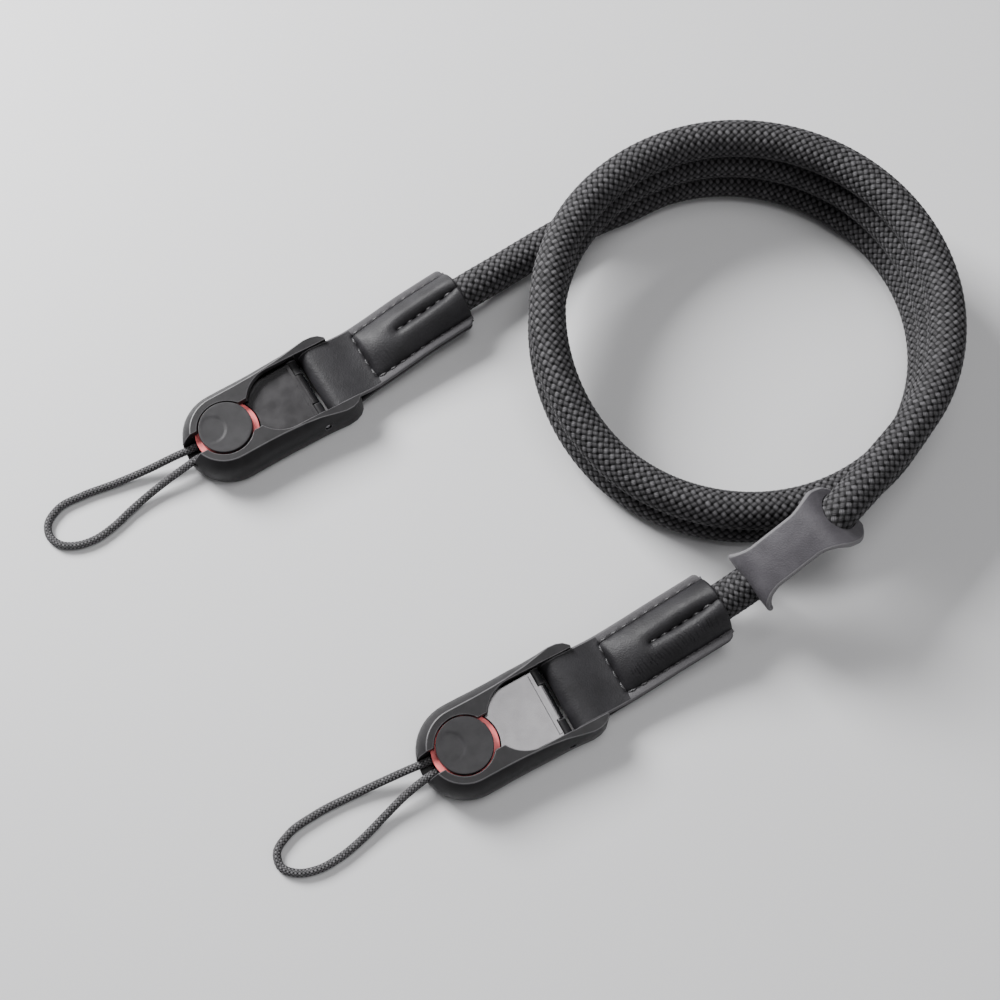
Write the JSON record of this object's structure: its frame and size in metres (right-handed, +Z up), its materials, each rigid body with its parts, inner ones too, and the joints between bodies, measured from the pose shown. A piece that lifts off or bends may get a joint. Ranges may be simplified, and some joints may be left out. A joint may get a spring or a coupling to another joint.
{
  "type": "coiled camera strap",
  "caption": "Braided rope strap lying in a flat coil, with a leather sleeve and a quick-release connector with cord loop at each end.",
  "frame": {"origin": "on the surface that the strap lies on, under the middle of the box of the two connectors and their sleeves", "axes": "+Z up out of the surface, +X and +Y along the surface: the coil lies toward +X +Y and the cord loops toward -X -Y"},
  "size_m": [0.2486, 0.2044, 0.0313],
  "materials": {
    "rope_braid": "matte",
    "sleeve_leather": "satin",
    "keeper_leather": "satin",
    "housing_plastic": "satin",
    "latch_plate_steel": "gloss",
    "hinge_pin_steel": "satin",
    "anchor_red": "satin",
    "anchor_cap_plastic": "satin",
    "anchor_cord_braid": "matte"
  },
  "bodies": {
    "strap": {"rope": "rope_braid", "rope_end_1": "rope_braid", "rope_end_2": "rope_braid", "sleeve_1": "sleeve_leather", "sleeve_2": "sleeve_leather", "keeper": "keeper_leather", "housing_1": "housing_plastic", "housing_2": "housing_plastic", "hinge_pin_1": "hinge_pin_steel", "hinge_pin_2": "hinge_pin_steel", "anchor_base_1": "anchor_red", "anchor_base_2": "anchor_red", "anchor_cap_1": "anchor_cap_plastic", "anchor_cap_2": "anchor_cap_plastic", "anchor_cord_1": "anchor_cord_braid", "anchor_cord_2": "anchor_cord_braid"},
    "latch_1": {"latch_plate_1": "latch_plate_steel"},
    "latch_2": {"latch_plate_2": "latch_plate_steel"}
  },
  "joints": [
    {"name": "latch_1_press", "type": "hinge", "parent": "strap", "child": "latch_1", "pos_m": [-0.04041, 0.03817, 0.0054], "axis": [0.5225, -0.8526, 0], "range_deg": [0, 11], "stiffness_Nm_per_rad": 0.05, "springref_deg": -8.59},
    {"name": "latch_2_press", "type": "hinge", "parent": "strap", "child": "latch_2", "pos_m": [0.02615, -0.04988, 0.0054], "axis": [0.4756, -0.8796, 0], "range_deg": [0, 11], "stiffness_Nm_per_rad": 0.05, "springref_deg": -8.59}
  ]
}
